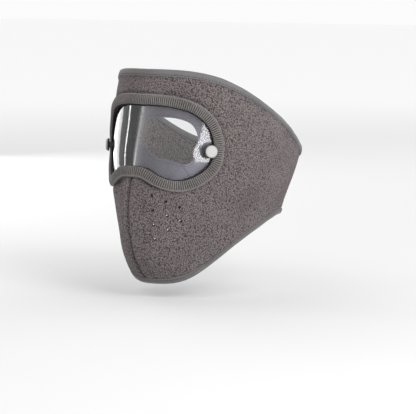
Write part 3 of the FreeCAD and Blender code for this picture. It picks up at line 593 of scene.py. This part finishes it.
def front_grid(inner_margin):
    """Turns and heights between the eye opening and the borders of one half of the face."""
    dense = 1.2
    at = np.concatenate([np.linspace(0, NOSE_AT - dense, 150)[:-1],
                         NOSE_AT - dense * (1 - np.linspace(0, 1, 60)) ** 1.5])
    at[np.argmin(np.abs(at - CORNER_TOP))] = CORNER_TOP
    at[np.argmin(np.abs(at - CORNER_LOW))] = CORNER_LOW
    inner = EYE.place(at, inner_margin)
    inner[0, 0] = inner[-1, 0] = 0
    turn_in, height_in = turn_at(inner[:, 0]), inner[:, 1]
    turn_out = np.where(at < CORNER_TOP, SIDE_TURN * at / CORNER_TOP, SIDE_TURN)
    turn_out = np.where(at > CORNER_LOW, SIDE_TURN * (NOSE_AT - at) / (NOSE_AT - CORNER_LOW),
                        turn_out)
    top, low = top_height(turn_out) - EDGE_INSET, low_height(turn_out) + EDGE_INSET
    share = np.clip((at - CORNER_TOP) / (CORNER_LOW - CORNER_TOP), 0, 1)
    height_out = np.where(at < CORNER_TOP, top, np.where(at > CORNER_LOW, low,
                                                         top + (low - top) * share))
    rows = np.linspace(0, 1, 84) ** 1.15
    turn = turn_in[:, None] + (turn_out - turn_in)[:, None] * rows
    height = height_in[:, None] + (height_out - height_in)[:, None] * rows
    along_side = (at >= CORNER_TOP) & (at <= CORNER_LOW)
    return turn, height, share[along_side]


def back_grid(last_turn, shares):
    """Turns and heights from the side line to the end at the nape."""
    turn = np.linspace(SIDE_TURN, last_turn, 110)[:, None] + 0 * shares
    top, low = top_height(turn) - EDGE_INSET, low_height(turn) + EDGE_INSET
    return turn, top + (low - top) * shares


def fleece_half(name, side, last_turn):
    """One half of the fleece, as a closed cloth that is open only on the middle plane."""
    turn, height, shares = front_grid(EYE_INSET)
    parts = [(turn, height), back_grid(last_turn, shares)]
    lift_at = wrap_lift if side > 0 else (lambda value: 0 * value)
    points, faces = [], []
    total = 0
    for number, (turn, height) in enumerate(parts):
        relief = cloth_relief(turn, height, side)
        outer = skin(turn, height, FLEECE + lift_at(turn) + relief)
        inner = skin(turn, height, lift_at(turn) + 0.6 * np.minimum(relief, 0))
        rows, columns = turn.shape
        count = rows * columns
        faces += grid_faces(rows, columns, start=total)
        faces += grid_faces(rows, columns, start=total + count, flip=True)
        first, last = [[i * columns + j for i in range(rows)] for j in (0, columns - 1)]
        end = [(rows - 1) * columns + j for j in range(columns)]
        if number == 0:
            # The face goes on into the back along the side line, so no rim closes it there.
            rims = [first, last]
            skip = {last[i] for i in np.flatnonzero(np.isclose(turn[:, -1], SIDE_TURN))}
        else:
            rims, skip = [end, first, last], set()
        for rim in rims:
            for a, b in zip(rim, rim[1:]):
                if a in skip and b in skip:
                    continue
                faces.append((a + total, b + total, b + total + count, a + total + count))
        points += [outer.reshape(-1, 3), inner.reshape(-1, 3)]
        total += 2 * count
    points = np.concatenate(points) * (side, 1, 1)
    return tidy_mesh(mesh_object(name, points, faces, FLEECE_CLOTH))


# A breathing hole narrows inward. The radii are those at the two ends of its cutter, whose
# middle lies at a lift of HOLE_MIDDLE.
HOLE_MIDDLE, HOLE_DEPTH, HOLE_INSIDE, HOLE_OUTSIDE, HOLE_SIDES = 1.0, 4.4, 0.12, 1.60, 14
# The first hole: turn and height; then the step to the next column, and the step down a column.
FIRST_HOLE, NEXT_COLUMN, NEXT_HOLE = (11.3, -37.7), (6.2, -5.0), -12.9
HOLE_COLUMNS, MOST_HOLES = 3, 4


def punch_holes(item, side):
    """Breathing holes, in columns that each have one hole fewer than the last."""
    work = bmesh.new()
    for column in range(HOLE_COLUMNS):
        turn = FIRST_HOLE[0] + NEXT_COLUMN[0] * column
        for row in range(MOST_HOLES - column):
            height = FIRST_HOLE[1] + NEXT_COLUMN[1] * column + NEXT_HOLE * row
            foot = skin(turn, height, HOLE_MIDDLE) * (side, 1, 1) * MM
            way = outward(turn, height) * (side, 1, 1)
            turned = Vector(way).to_track_quat("Z", "Y").to_matrix().to_4x4()
            turned.translation = Vector(foot)
            bmesh.ops.create_cone(work, cap_ends=True, segments=HOLE_SIDES,
                                  radius1=HOLE_INSIDE * MM, radius2=HOLE_OUTSIDE * MM,
                                  depth=HOLE_DEPTH * MM, matrix=turned)
    mesh = bpy.data.meshes.new("drills")
    work.to_mesh(mesh)
    # The cutter carries the near-black painted shade, which the boolean passes onto the hole
    # walls.
    mesh.materials.append(HOLE_WALL_SHADE)
    work.free()
    drills = bpy.data.objects.new("drills", mesh)
    bpy.context.scene.collection.objects.link(drills)
    cutting = item.modifiers.new("holes", "BOOLEAN")
    cutting.operation, cutting.object, cutting.solver = "DIFFERENCE", drills, "EXACT"
    cutting.use_self = False
    cutting.material_mode = "TRANSFER"
    bpy.context.view_layer.update()
    seen = item.evaluated_get(bpy.context.evaluated_depsgraph_get())
    cut = bpy.data.meshes.new_from_object(seen)
    item.modifiers.clear()
    item.data = cut
    bpy.data.objects.remove(drills)
    return item


def bends_with_wing(item):
    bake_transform(item)


def build_fleece():
    left = punch_holes(fleece_half("fleece_left", 1, WING_END - END_INSET), 1)
    right = punch_holes(fleece_half("fleece_right", -1, RIGHT_END - END_INSET), -1)
    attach(right, "mask")
    bends_with_wing(left)
    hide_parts("fleece_body", "right_back_side")
    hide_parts("left_back_wing")


# ---------------------------------------------------------------- bindings


# Where the stitches of a binding run, as a share of its width.
STITCH_ROW = 0.79


def fold_profile(width):
    """Distance in from the edge, and lift, round a soft folded binding."""
    high, low = FLEECE + GAP + BINDING, -GAP - BINDING
    mid = (high + low) / 2
    half = (high - low) / 2
    angle = np.radians(np.linspace(-90, 90, 9))
    nose = [(1.6 - 1.6 * math.cos(a), mid + half * math.sin(a)) for a in angle]
    outside = [(share * width, high + lift) for share, lift in
               ((0.45, 0.25), (0.66, 0.2), (0.76, -0.25), (0.82, -0.25), (0.9, 0.1), (0.97, -0.1))]
    back = [(width, high - 0.9), (width, low + 0.5), (0.9 * width, low), (0.5 * width, low - 0.1)]
    return np.array(nose + outside + back)


def edge_binding(name, node_name, edge, inward, width, last_turn, side):
    """Binding of the upper or lower edge of one half, with its stitches."""
    turns = np.linspace(0, last_turn, 330)
    profile = fold_profile(width)
    turn = turns[:, None] + 0 * profile[:, 0]
    lift_at = wrap_lift(turn) if side > 0 else 0 * turn
    base = on_form(turn, edge(turn))
    wave = 0.25 * ripple(base * (side, 1, 1), 22, 8)
    height = edge(turn) + inward * profile[:, 0]
    points = skin(turn, height, profile[:, 1] + lift_at + wave) * (side, 1, 1)
    if side < 0:
        points = points[:, ::-1]
    item = swept(name, points, EDGE_CLOTH)
    path = skin(turns, edge(turns) + inward * STITCH_ROW * width, FLEECE + GAP + BINDING - 0.1
                + (wrap_lift(turns) if side > 0 else 0) + wave[:, 0]) * (side, 1, 1)
    ups = outward(turns, edge(turns)) * (side, 1, 1)
    thread = stitches(name + "_stitches", path, ups, DARK_THREAD, 2.2, 0.9, 0.28)
    for piece in (item, thread):
        if side > 0:
            bends_with_wing(piece)
        else:
            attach(piece, "mask")
    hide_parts(node_name)


def end_binding(name, node_name, last_turn, side):
    """Upright binding of one end at the nape."""
    heights = np.linspace(low_height(last_turn) + LOW_WIDTH * 0.7,
                          top_height(last_turn) - TOP_WIDTH * 0.7, 60)
    profile = fold_profile(END_WIDTH)
    turn = last_turn - np.degrees(profile[:, 0] / HALF_WIDTH) + 0 * heights[:, None]
    lift = profile[:, 1] + (wrap_lift(turn) if side > 0 else 0 * turn)
    item = swept(name, skin(turn, heights[:, None], lift) * (side, 1, 1), EDGE_CLOTH)
    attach(item, "left_wing" if side > 0 else "mask")
    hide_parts(node_name)


def build_bindings():
    for label, edge, inward, width in (("top", top_height, -1, TOP_WIDTH),
                                       ("bottom", low_height, 1, LOW_WIDTH)):
        edge_binding(label + "_binding_left", "left_wing_" + label + "_binding", edge, inward,
                     width, WING_END, 1)
        edge_binding(label + "_binding_right", label + "_edge_binding", edge, inward, width,
                     RIGHT_END, -1)
    end_binding("end_binding_right", "right_end_binding", RIGHT_END, -1)
    end_binding("end_binding_wing", "left_wing_end_binding", WING_END, 1)


# ---------------------------------------------------------------- rim of the eye opening


def even_outline(margin, count):
    """Parameters of the eye outline at even steps along a margin, and its length."""
    fine = np.linspace(0, WHOLE_LOOP, 4801)
    path = reach_skin(EYE.place(fine, margin), FLEECE)
    run = np.concatenate([[0], np.cumsum(np.linalg.norm(np.diff(path, axis=0), axis=1))])
    return np.interp(np.linspace(0, run[-1], count, endpoint=False), run, fine), run[-1]


# Distance from rib to rib, and the steps of the mesh from one to the next.
RIB_PITCH, RIB_STEPS = 1.9, 6
# Painted shade: the valley between two ribs gets a near-black cloth on these corners of the
# profile.
RIB_FACE = (3, 9)


def build_rib():
    """Rib knit folded over the rim, its ribs across its width."""
    length = even_outline(RIB_WIDTH * 0.5, 10)[1]
    ribs = round(length / RIB_PITCH)
    at, _ = even_outline(RIB_WIDTH * 0.5, ribs * RIB_STEPS)
    phase = 2 * np.pi * np.arange(ribs * RIB_STEPS) / RIB_STEPS
    profile = np.array(((0.9, 1.9), (0.15, 2.3), (-0.25, 2.9), (-0.1, 3.5), (0.5, 4.0),
                        (1.4, 4.35), (2.6, 4.5), (4.2, 4.6), (5.8, 4.45), (7.1, 4.05),
                        (7.7, 3.65), (8.1, 3.75), (8.7, 3.45), (9.1, 2.9), (9.2, 2.2),
                        (8.6, 1.9)))
    ridge = np.interp(profile[:, 0], (-0.3, 0.6, 7.0, 7.8, 8.2), (0.3, 0.9, 0.9, 0.15, 0.0))
    ridge[[0, -1, -2]] = 0
    soft = 0.75 + 0.25 * np.sin(phase[:, None] / 17.3)
    swell = ridge * (np.abs(np.cos(phase / 2))[:, None] * 1.5 - 1.0) * soft
    margin = np.broadcast_to(profile[:, 0], swell.shape)
    place = EYE.place(np.broadcast_to(at[:, None], swell.shape), margin)
    base = reach_skin(place, np.zeros(swell.shape))
    wave = 0.3 * ripple(base, 26, 12)
    pinch = snap_dip(base, 9.0) * smooth(9, 3, profile[:, 0])
    lift = profile[:, 1] + swell + wave - 0.9 * pinch
    item = swept("rib_rim", reach_skin(place, lift), RIB_CLOTH, closed=True)
    item.data.materials.append(RIB_VALLEY_SHADE)
    # The middle faces of each valley get the second, near-black material as painted shade between
    # the ribs.
    for face in item.data.polygons:
        steps = {corner // len(profile) % RIB_STEPS for corner in face.vertices}
        widths = [corner % len(profile) for corner in face.vertices]
        if RIB_STEPS // 2 in steps and RIB_FACE[0] <= min(widths) and max(widths) <= RIB_FACE[1]:
            face.material_index = 1
    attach(item, "mask")
    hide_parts("eye_rib_binding")
    path = reach_skin(EYE.place(at, 8.0), 3.95 + wave[:, 0])
    ups = outward(turn_at(place[:, 0, 0]), place[:, 0, 1])
    path, ups = np.vstack([path, path[:1]]), np.vstack([ups, ups[:1]])
    thread = stitches("rib_rim_stitches", path, ups, THREAD, 2.0, 0.8, 0.27)
    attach(thread, "mask")


def snap_dip(points, size):
    """1 at the two snaps, falling to 0 round them."""
    foot = reach_skin(np.array((SNAP_REACH, SNAP_HEIGHT)), 0.0)
    total = 0
    for side in (1, -1):
        total = total + hump(np.linalg.norm(points - foot * (side, 1, 1), axis=-1), 0, size)
    return total


def build_piping():
    """Black lip inside the rib knit, with a small round edge."""
    at, _ = even_outline(0, 520)
    profile = np.array(((1.3, -0.35), (-0.3, -0.4), (-0.75, 0.2), (-0.8, 1.0), (-0.5, 1.7),
                        (0.2, 2.1), (1.3, 2.0)))
    margin = np.broadcast_to(profile[:, 0], (len(at), len(profile)))
    place = EYE.place(np.broadcast_to(at[:, None], margin.shape), margin)
    item = swept("rim_piping", reach_skin(place, profile[:, 1] + 0 * margin), PIPING_CLOTH,
                 closed=True)
    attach(item, "mask")
    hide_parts("eye_edge_piping")


# ---------------------------------------------------------------- lens


# The place on the eye outline beyond the snap, where the lens's upper and lower rims meet.
LENS_END = 5.55
# The dint at a snap: depth, half width. The crease inward from it: depth, half width.
LENS_DINT, LENS_CREASE = (0.7, 7), (0.6, 4.5)


def build_lens():
    """Two halves that meet in the middle, each bent outward with its own snap."""
    share = np.sin(np.linspace(0, 1, 90) * np.pi / 2)
    upper = EYE.place(LENS_END * share, LENS_MARGIN)
    lower = EYE.place(NOSE_AT - (NOSE_AT - LENS_END) * share, LENS_MARGIN)
    upper[0, 0] = lower[0, 0] = 0
    rise = np.linspace(0, 1, 48)
    place = lower[:, None] + (upper - lower)[:, None] * rise[:, None]
    base = reach_skin(place, np.zeros(place.shape[:2]))
    foot = np.array((SNAP_REACH, SNAP_HEIGHT))
    from_snap = np.linalg.norm(place - foot, axis=-1)
    crease = hump(place[..., 1], SNAP_HEIGHT, LENS_CREASE[1]) * smooth(50, 66, place[..., 0])
    dip = -LENS_DINT[0] * hump(from_snap, 0, LENS_DINT[1]) - LENS_CREASE[0] * crease
    dip = dip + 0.06 * ripple(base, 45, 21)
    for side, name in ((1, "left"), (-1, "right")):
        flip = np.array((side, 1, 1))
        inner = reach_skin(place, LENS_LIFT - LENS_THICK + dip) * flip
        outer = reach_skin(place, LENS_LIFT + dip) * flip
        item = slab("lens_" + name, inner, outer, CLEAR, drop_middle=True)
        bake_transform(item)
        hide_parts("lens")


# ---------------------------------------------------------------- liner, tabs, closure, tape


# Where the liner's side pieces begin and end on the outlines.
LINER_TOP, LINER_LOW = 3.75, 8.0
# Past the eye opening the liner lies level to a margin, then falls out to the fleece.
LINER_LEVEL, LINER_FALL = 4.5, 9.5


def build_liner():
    """Jersey bands behind the lens, from their own hole out to the fleece."""
    # Share of the way from the liner's hole to the eye opening, margin past it, lift.
    rows = ((0, 0, 0.25), (0.03, 0, 0.55), (0.12, 0, 0.5), (0.18, 0, -0.05), (0.22, 0, 0.1),
            (0.4, 0, 0.15), (0.6, 0, 0.1), (0.8, 0, 0.0), (1, 0, 0), (1, 2.2, 0), (1, 4.5, 0.2))
    top, low = LINER_TOP, LINER_LOW
    other_low, other_top = WHOLE_LOOP - low, WHOLE_LOOP - top
    pieces = (("liner_brow_band", -top, top), ("liner_left_side", top, low),
              ("liner_cheek_band", low, other_low), ("liner_right_side", other_low, other_top))
    count = 150
    for name, first, last in pieces:
        at = np.linspace(first, last, count)
        columns = []
        for share, margin, lift in rows:
            place = LINER.place(at, 0) * (1 - share) + EYE.place(at, margin) * share
            columns.append((place, LINER_LIFT + lift))
        last_lift = rows[-1][2]
        for step in np.linspace(0.15, 1, 7):
            place = EYE.place(at, LINER_LEVEL + LINER_FALL * step)
            fall = -GAP - last_lift - LINER_LIFT
            columns.append((place, LINER_LIFT + last_lift + fall * step))
        grid = np.stack([place for place, _ in columns], 1)
        lifts = np.array([lift for _, lift in columns]) + 0 * grid[..., 0]
        base = reach_skin(grid, 0 * lifts)
        border = np.minimum(np.arange(count), np.arange(count)[::-1])[:, None]
        lifts = lifts - 0.45 * hump(border, 0, 2.0) * (np.arange(len(columns)) < 14)
        lifts = lifts + 0.12 * ripple(base, 16, 31)
        item = slab(name + "_cloth", reach_skin(grid, lifts - LINER_THICK),
                    reach_skin(grid, lifts), LINER_CLOTH)
        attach(item, "mask")
        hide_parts(name)
        line = LINER.place(at, 0) * 0.8 + EYE.place(at, 0) * 0.2
        thread = stitches(name + "_stitches", reach_skin(line, LINER_LIFT + 0.1 + 0 * at),
                          outward(turn_at(line[:, 0]), line[:, 1]), DARK_THREAD, 2.2, 0.9, 0.2)
        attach(thread, "mask")


def cloth_patch(name, node_name, slot_name, body, material, turns, heights, inner, outer,
                crown=0.0):
    """A small patch of cloth; heights gives low and high at a turn, crown lifts its middle."""
    across, down = np.arange(40), np.arange(26)
    turn = np.linspace(*turns, len(across))[:, None] + np.zeros(len(down))
    low, high = heights(turn)
    height = low + (high - low) * np.linspace(0, 1, len(down))
    inset = np.minimum.outer(np.minimum(across, across[::-1]), np.minimum(down, down[::-1]))
    rounded = crown * smooth(0, 4, inset)
    item = slab(name, skin(turn, height, inner), skin(turn, height, outer - crown + rounded),
                material)
    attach(item, body)
    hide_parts(node_name)


# The closure's patches: turns of their ends, distance from the bindings, thickness.
HOOK_TURNS, LOOP_TURNS, PATCH_INSET = (171, 199.5), (-194, -164), 2.5
HOOK_THICK, LOOP_THICK = 1.1, 1.3
# The tabs that carry the studs: reaches of their ends, half height, lifts of their faces.
TAB_REACHES, TAB_HALF, TAB_LIFTS = (60.5, 76.0), 7.5, (-3.9, -3.0)


def build_patches():
    def strap(turn):
        return (low_height(turn) + LOW_WIDTH + PATCH_INSET,
                top_height(turn) - TOP_WIDTH - PATCH_INSET)

    def tab(turn):
        return SNAP_HEIGHT - TAB_HALF + 0 * turn, SNAP_HEIGHT + TAB_HALF + 0 * turn

    hook_top, loop_foot = WRAP_LIFT - GAP, FLEECE + GAP
    cloth_patch("hooks", "hook_patch", "hook_nylon", "left_wing", HOOK_CLOTH, HOOK_TURNS,
                strap, hook_top - HOOK_THICK, hook_top)
    cloth_patch("loops", "loop_patch", "loop_nylon", "mask", LOOP_CLOTH, LOOP_TURNS,
                strap, loop_foot, loop_foot + LOOP_THICK, crown=0.4)
    for side, name in ((1, "left"), (-1, "right")):
        ends = sorted(side * turn_at(np.array(TAB_REACHES)))
        cloth_patch(name + "_tab", name + "_snap_tab", "tab_cloth", "mask", TAB_CLOTH, ends,
                    tab, *TAB_LIFTS, crown=0.3)


TAPE_HALF, TAPE_TOP, TAPE_THICK = 6.0, -33.0, 0.9
SEAM_TOP, SEAM_LOW, SEAM_STITCHES_AT = -26.0, -111.0, 2.7


def build_seam():
    """Chin seam: tape inside, and a row of stitches on each side of the valley."""
    half = np.degrees(TAPE_HALF / FACE_DEPTH)
    cloth_patch("seam_tape", "front_seam_tape", "seam_tape", "mask", TAPE_CLOTH, (-half, half),
                lambda turn: (low_height(turn) + LOW_WIDTH, TAPE_TOP + 0 * turn),
                -GAP - TAPE_THICK, -GAP)
    heights = np.linspace(SEAM_TOP, SEAM_LOW, 240)
    for side in (1, -1):
        # The turns close in on a line SEAM_STITCHES_AT from the middle plane.
        turns = np.full(len(heights), 1.45)
        for _ in range(4):
            turns = turns * SEAM_STITCHES_AT / np.abs(on_form(turns, heights)[:, 0])
        lift = FLEECE + cloth_relief(turns, heights, side) - 0.1
        path = skin(turns, heights, lift) * (side, 1, 1)
        ups = outward(turns, heights) * (side, 1, 1)
        thread = stitches("seam_stitches_" + ("left" if side > 0 else "right"), path, ups,
                          THREAD, 2.4, 1.2, 0.3)
        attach(thread, "mask")


def finish_metal():
    """The snaps keep the part's own shapes and get their finishes."""
    finishes = {"snap_cap": SILVER, "snap_socket": BLACK, "snap_stud": NICKEL,
                "snap_post": NICKEL}
    for name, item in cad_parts.items():
        for ending, material in finishes.items():
            if name.endswith(ending):
                item.data.materials.clear()
                item.data.materials.append(material)


# ---------------------------------------------------------------- stage, light, camera


def aim(item, target):
    item.rotation_euler = (Vector(target) - item.location).to_track_quat("-Z", "Y").to_euler()


def from_angle(azimuth, elevation, distance, centre):
    """A place at a distance from the centre; azimuth runs from the front to the wearer's left."""
    a, e = math.radians(azimuth), math.radians(elevation)
    way = Vector((math.sin(a) * math.cos(e), -math.cos(a) * math.cos(e), math.sin(e)))
    return Vector(centre) + way * distance


LIGHT_CENTRE = (0, -0.02, -0.02)


def soft_light(name, azimuth, elevation, distance, width, height, watts):
    lamp = bpy.data.lights.new(name, "AREA")
    lamp.shape, lamp.size, lamp.size_y, lamp.energy = "RECTANGLE", width, height, watts
    item = bpy.data.objects.new(name, lamp)
    bpy.context.scene.collection.objects.link(item)
    item.location = from_angle(azimuth, elevation, distance, LIGHT_CENTRE)
    aim(item, LIGHT_CENTRE)


# The floor lies this far below the part and reaches this far out, in millimetres.
FLOOR_DROP, FLOOR_REACH = 12, 9000
# It gets paler from the first to the second distance from the middle, in metres, up to this.
FLOOR_NEAR, FLOOR_FAR, FLOOR_PALE = 0.5, 3.0, 0.96
WORLD_STRENGTH = 0.97


def build_stage():
    """Pale floor that fades to white with distance, white surroundings and soft lights."""
    material, nodes, links, shader = new_material("pale_floor")
    shader.inputs["Roughness"].default_value = 0.9
    noise = node(nodes, "ShaderNodeTexNoise", Scale=3.0, Detail=2.0)
    tone = ramp(nodes, ((0.0, (0.62, 0.62, 0.62)), (1.0, (0.65, 0.65, 0.65))))
    links.new(noise.outputs["Fac"], tone.inputs["Fac"])
    where = nodes.new("ShaderNodeTexCoord")
    far = node(nodes, "ShaderNodeVectorMath", operation="LENGTH")
    links.new(where.outputs["Object"], far.inputs[0])
    fade = node(nodes, "ShaderNodeMapRange", interpolation_type="SMOOTHSTEP")
    fade.inputs["From Min"].default_value = FLOOR_NEAR
    fade.inputs["From Max"].default_value = FLOOR_FAR
    links.new(far.outputs["Value"], fade.inputs["Value"])
    paler = node(nodes, "ShaderNodeMix", data_type="RGBA")
    links.new(fade.outputs["Result"], paler.inputs[0])
    links.new(tone.outputs["Color"], paler.inputs[6])
    paler.inputs[7].default_value = (FLOOR_PALE, FLOOR_PALE, FLOOR_PALE, 1)
    links.new(paler.outputs[2], shader.inputs["Base Color"])
    low, reach = CAD_BOX[0][2] / MM - FLOOR_DROP, FLOOR_REACH
    corners = [(-reach, -reach, low), (reach, -reach, low), (reach, reach, low),
               (-reach, reach, low)]
    floor = mesh_object("floor", corners, [(0, 1, 2, 3)], material, smooth_faces=False)
    world = bpy.data.worlds.new("studio")
    world.use_nodes = True
    world.node_tree.nodes["Background"].inputs["Color"].default_value = (1, 1, 1, 1)
    world.node_tree.nodes["Background"].inputs["Strength"].default_value = WORLD_STRENGTH
    bpy.context.scene.world = world
    soft_light("key_right", 74, 4, 1.3, 0.70, 2.3, 30)
    soft_light("rim_back", 165, 22, 1.5, 0.8, 1.0, 4)
    soft_light("wall_left", -108, 6, 1.3, 0.8, 1.1, 9)
    soft_light("strip_left", -70, 8, 1.3, 0.08, 1.2, 3.5)
    bpy.context.scene.view_settings.view_transform = "Standard"


# The picture's width in its own points, and how many of them show one millimetre.
FRAME_WIDTH, SCALE = 416, 1.12
# The camera looks at a place right of and below the middle of the face, in metres.
CAMERA_AZIMUTH, CAMERA_ELEVATION, CAMERA_DISTANCE = 40, 5, 1.7
FACE_MIDDLE, LOOK_RIGHT, LOOK_DOWN = (0, -0.062, 0), 0.0411, 0.0525
SENSOR = 36


def build_camera():
    """The camera stands to the wearer's left, a little above the eyes."""
    camera = bpy.data.cameras.new("view")
    item = bpy.data.objects.new("view", camera)
    bpy.context.scene.collection.objects.link(item)
    item.location = from_angle(CAMERA_AZIMUTH, CAMERA_ELEVATION, CAMERA_DISTANCE, FACE_MIDDLE)
    a = math.radians(CAMERA_AZIMUTH)
    right = Vector((math.cos(a), math.sin(a), 0))
    back = (item.location - Vector(FACE_MIDDLE)).normalized()
    up = back.cross(right)
    aim(item, Vector(FACE_MIDDLE) + right * LOOK_RIGHT - up * LOOK_DOWN)
    camera.sensor_width = SENSOR
    camera.lens = SENSOR * CAMERA_DISTANCE / (FRAME_WIDTH / SCALE * MM)
    camera.clip_end = 100
    bpy.context.scene.camera = item


build_fleece()
build_bindings()
build_rib()
build_piping()
build_lens()
build_liner()
build_patches()
build_seam()
finish_metal()
build_stage()
build_camera()
